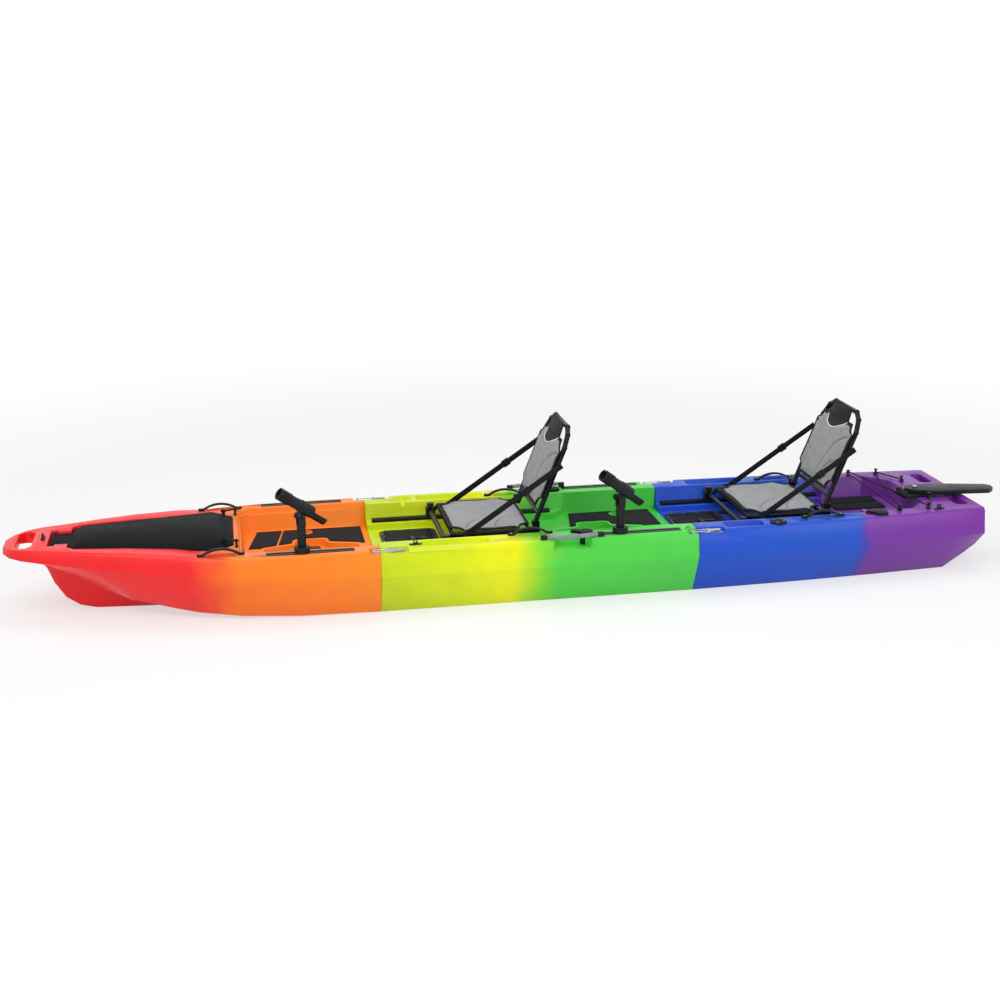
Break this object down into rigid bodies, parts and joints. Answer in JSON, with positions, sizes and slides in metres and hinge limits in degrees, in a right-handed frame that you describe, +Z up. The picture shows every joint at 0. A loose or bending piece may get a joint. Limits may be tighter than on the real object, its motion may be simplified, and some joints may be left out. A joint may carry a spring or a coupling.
{
  "type": "tandem kayak",
  "caption": "Modular sit-on-top tandem kayak in rainbow colours, with framed folding seats, drive wells, hatches, rod holders and a stowed rudder.",
  "frame": {"origin": "middle of the hull's length, on the flat bottom of the keel", "axes": "+X aft along the hull, +Y to starboard, +Z up"},
  "size_m": [4.3371, 0.86, 0.7065],
  "materials": {
    "hull_red": "gloss",
    "hull_yellow": "gloss",
    "hull_blue": "gloss",
    "lid_grey": "matte",
    "black_plastic": "matte",
    "grip_grey": "matte",
    "black_rubber": "matte",
    "foam_grey": "matte",
    "alloy_black": "anodised",
    "stainless": "brushed",
    "brass": "satin",
    "mesh_grey": "woven",
    "webbing": "woven"
  },
  "bodies": {
    "hull": {"bow_hull": "hull_red", "mid_hull": "hull_yellow", "stern_hull": "hull_blue", "bow_hatch_seal": "black_rubber", "bow_lid_hinge": "black_plastic", "lid_bands": "black_rubber", "drive_well_frames": "black_plastic", "deck_pads": "foam_grey", "gear_tracks": "alloy_black", "seat_rails": "alloy_black", "hatch_frames": "black_plastic", "latch_bases": "stainless", "flush_rod_tubes": "black_plastic", "handle_brackets": "black_plastic", "strap_handles": "black_plastic", "lashing_eyes": "black_plastic", "bungee": "black_rubber", "deck_plugs": "black_plastic", "rudder_bracket": "black_plastic", "rudder_pin": "stainless", "rudder_inserts": "brass", "deck_screws": "stainless"},
    "bow_lid": {"bow_hatch_lid": "lid_grey"},
    "front_hatch": {"front_hatch_lid": "lid_grey"},
    "front_hatch_grip": {"front_hatch_handle": "black_plastic"},
    "rear_hatch": {"rear_hatch_lid": "lid_grey"},
    "rear_hatch_grip": {"rear_hatch_handle": "black_plastic"},
    "latch_lever_bow_port": {"latch_lever_bow_port": "stainless"},
    "latch_bail_bow_port": {"latch_bail_bow_port": "stainless"},
    "latch_lever_bow_starboard": {"latch_lever_bow_starboard": "stainless"},
    "latch_bail_bow_starboard": {"latch_bail_bow_starboard": "stainless"},
    "latch_lever_stern_port": {"latch_lever_stern_port": "stainless"},
    "latch_bail_stern_port": {"latch_bail_stern_port": "stainless"},
    "latch_lever_stern_starboard": {"latch_lever_stern_starboard": "stainless"},
    "latch_bail_stern_starboard": {"latch_bail_stern_starboard": "stainless"},
    "rod_holder_base_bow": {"rod_holder_base_bow": "black_plastic"},
    "rod_holder_post_bow": {"rod_holder_post_bow": "black_plastic"},
    "rod_holder_cradle_bow": {"rod_holder_cradle_bow": "black_plastic"},
    "rod_holder_base_mid": {"rod_holder_base_mid": "black_plastic"},
    "rod_holder_post_mid": {"rod_holder_post_mid": "black_plastic"},
    "rod_holder_cradle_mid": {"rod_holder_cradle_mid": "black_plastic"},
    "flush_cap_mid_port": {"flush_cap_mid_port": "black_plastic"},
    "flush_cap_mid_starboard": {"flush_cap_mid_starboard": "black_plastic"},
    "flush_cap_stern_port": {"flush_cap_stern_port": "black_plastic"},
    "flush_cap_stern_starboard": {"flush_cap_stern_starboard": "black_plastic"},
    "side_handle_port": {"side_handle_port": "grip_grey"},
    "side_handle_starboard": {"side_handle_starboard": "grip_grey"},
    "rudder": {"rudder_blade": "black_plastic"},
    "front_seat": {"front_seat_base": "alloy_black", "front_seat_hardware": "black_plastic", "front_seat_pan_pad": "mesh_grey", "front_seat_straps": "webbing"},
    "front_seat_backrest": {"front_seat_back": "alloy_black", "front_seat_back_pad": "mesh_grey"},
    "rear_seat": {"rear_seat_base": "alloy_black", "rear_seat_hardware": "black_plastic", "rear_seat_pan_pad": "mesh_grey", "rear_seat_straps": "webbing"},
    "rear_seat_backrest": {"rear_seat_back": "alloy_black", "rear_seat_back_pad": "mesh_grey"}
  },
  "joints": [
    {"name": "bow_lid_hinge_turn", "type": "hinge", "parent": "hull", "child": "bow_lid", "pos_m": [-1.905, 0, 0.288], "axis": [0, -1, 0], "range_deg": [0, 100], "deforming": ["lid_bands"]},
    {"name": "front_hatch_hinge", "type": "hinge", "parent": "hull", "child": "front_hatch", "pos_m": [-0.501, 0, 0.195], "axis": [0, -1, 0], "range_deg": [0, 110]},
    {"name": "front_hatch_turn", "type": "hinge", "parent": "front_hatch", "child": "front_hatch_grip", "pos_m": [-0.343, 0, 0.192], "axis": [0, 0, 1], "range_deg": [-90, 0]},
    {"name": "rear_hatch_hinge", "type": "hinge", "parent": "hull", "child": "rear_hatch", "pos_m": [0.803, 0, 0.195], "axis": [0, -1, 0], "range_deg": [0, 110]},
    {"name": "rear_hatch_turn", "type": "hinge", "parent": "rear_hatch", "child": "rear_hatch_grip", "pos_m": [0.961, 0, 0.192], "axis": [0, 0, 1], "range_deg": [-90, 0]},
    {"name": "latch_lever_bow_port_turn", "type": "hinge", "parent": "hull", "child": "latch_lever_bow_port", "pos_m": [-0.525, -0.392, 0.281], "axis": [0, -1, 0], "range_deg": [0, 120]},
    {"name": "latch_bail_bow_port_turn", "type": "hinge", "parent": "latch_lever_bow_port", "child": "latch_bail_bow_port", "pos_m": [-0.511, -0.392, 0.281], "axis": [0, -1, 0], "range_deg": [-120, 0]},
    {"name": "latch_lever_bow_starboard_turn", "type": "hinge", "parent": "hull", "child": "latch_lever_bow_starboard", "pos_m": [-0.525, 0.392, 0.281], "axis": [0, -1, 0], "range_deg": [0, 120]},
    {"name": "latch_bail_bow_starboard_turn", "type": "hinge", "parent": "latch_lever_bow_starboard", "child": "latch_bail_bow_starboard", "pos_m": [-0.511, 0.392, 0.281], "axis": [0, -1, 0], "range_deg": [-120, 0]},
    {"name": "latch_lever_stern_port_turn", "type": "hinge", "parent": "hull", "child": "latch_lever_stern_port", "pos_m": [0.82, -0.392, 0.281], "axis": [0, -1, 0], "range_deg": [0, 120]},
    {"name": "latch_bail_stern_port_turn", "type": "hinge", "parent": "latch_lever_stern_port", "child": "latch_bail_stern_port", "pos_m": [0.834, -0.392, 0.281], "axis": [0, -1, 0], "range_deg": [-120, 0]},
    {"name": "latch_lever_stern_starboard_turn", "type": "hinge", "parent": "hull", "child": "latch_lever_stern_starboard", "pos_m": [0.82, 0.392, 0.281], "axis": [0, -1, 0], "range_deg": [0, 120]},
    {"name": "latch_bail_stern_starboard_turn", "type": "hinge", "parent": "latch_lever_stern_starboard", "child": "latch_bail_stern_starboard", "pos_m": [0.834, 0.392, 0.281], "axis": [0, -1, 0], "range_deg": [-120, 0]},
    {"name": "rod_holder_base_bow_slide", "type": "slide", "parent": "hull", "child": "rod_holder_base_bow", "axis": [1, 0, 0], "range_m": [-0.125, 0.191]},
    {"name": "rod_holder_post_bow_swivel", "type": "hinge", "parent": "rod_holder_base_bow", "child": "rod_holder_post_bow", "pos_m": [-0.885, -0.368, 0.317], "axis": [0, 0, 1], "range_deg": [-90, 90]},
    {"name": "rod_holder_cradle_bow_tilt", "type": "hinge", "parent": "rod_holder_post_bow", "child": "rod_holder_cradle_bow", "pos_m": [-0.885, -0.368, 0.437], "axis": [0.3584, -0.9336, 0], "range_deg": [-40, 30]},
    {"name": "rod_holder_base_mid_slide", "type": "slide", "parent": "hull", "child": "rod_holder_base_mid", "axis": [1, 0, 0], "range_m": [-0.04, 0.241]},
    {"name": "rod_holder_post_mid_swivel", "type": "hinge", "parent": "rod_holder_base_mid", "child": "rod_holder_post_mid", "pos_m": [0.444, -0.368, 0.317], "axis": [0, 0, 1], "range_deg": [-90, 90]},
    {"name": "rod_holder_cradle_mid_tilt", "type": "hinge", "parent": "rod_holder_post_mid", "child": "rod_holder_cradle_mid", "pos_m": [0.444, -0.368, 0.437], "axis": [0.3584, -0.9336, 0], "range_deg": [-40, 30]},
    {"name": "flush_cap_mid_port_swing", "type": "hinge", "parent": "hull", "child": "flush_cap_mid_port", "pos_m": [0.256, -0.322, 0.295], "axis": [0, 0, -1], "range_deg": [0, 110]},
    {"name": "flush_cap_mid_starboard_swing", "type": "hinge", "parent": "hull", "child": "flush_cap_mid_starboard", "pos_m": [0.256, 0.322, 0.295], "axis": [0, 0, 1], "range_deg": [0, 110]},
    {"name": "flush_cap_stern_port_swing", "type": "hinge", "parent": "hull", "child": "flush_cap_stern_port", "pos_m": [1.573, -0.309, 0.295], "axis": [0, 0, -1], "range_deg": [0, 110]},
    {"name": "flush_cap_stern_starboard_swing", "type": "hinge", "parent": "hull", "child": "flush_cap_stern_starboard", "pos_m": [1.573, 0.309, 0.295], "axis": [0, 0, 1], "range_deg": [0, 110]},
    {"name": "side_handle_port_swing", "type": "hinge", "parent": "hull", "child": "side_handle_port", "pos_m": [0.232, -0.4, 0.299], "axis": [-1, 0, 0], "range_deg": [0, 95]},
    {"name": "side_handle_starboard_swing", "type": "hinge", "parent": "hull", "child": "side_handle_starboard", "pos_m": [0.232, 0.4, 0.299], "axis": [1, 0, 0], "range_deg": [0, 95]},
    {"name": "rudder_turn", "type": "hinge", "parent": "hull", "child": "rudder", "pos_m": [1.888, -0.066, 0.306], "axis": [0, 0, 1], "range_deg": [0, 30]},
    {"name": "front_seat_slide", "type": "slide", "parent": "hull", "child": "front_seat", "axis": [1, 0, 0], "range_m": [-0.12, 0.12]},
    {"name": "front_seat_fold", "type": "hinge", "parent": "front_seat", "child": "front_seat_backrest", "pos_m": [0.112, 0, 0.3], "axis": [0, -1, 0], "range_deg": [0, 80], "deforming": ["front_seat_straps"]},
    {"name": "rear_seat_slide", "type": "slide", "parent": "hull", "child": "rear_seat", "axis": [1, 0, 0], "range_m": [-0.16, 0.08]},
    {"name": "rear_seat_fold", "type": "hinge", "parent": "rear_seat", "child": "rear_seat_backrest", "pos_m": [1.412, 0, 0.3], "axis": [0, -1, 0], "range_deg": [0, 80], "deforming": ["rear_seat_straps"]}
  ],
  "couplings": [
    {"joint": "latch_bail_bow_port_turn", "follows": "latch_lever_bow_port_turn", "ratio": -1},
    {"joint": "latch_bail_bow_starboard_turn", "follows": "latch_lever_bow_starboard_turn", "ratio": -1},
    {"joint": "latch_bail_stern_port_turn", "follows": "latch_lever_stern_port_turn", "ratio": -1},
    {"joint": "latch_bail_stern_starboard_turn", "follows": "latch_lever_stern_starboard_turn", "ratio": -1}
  ]
}
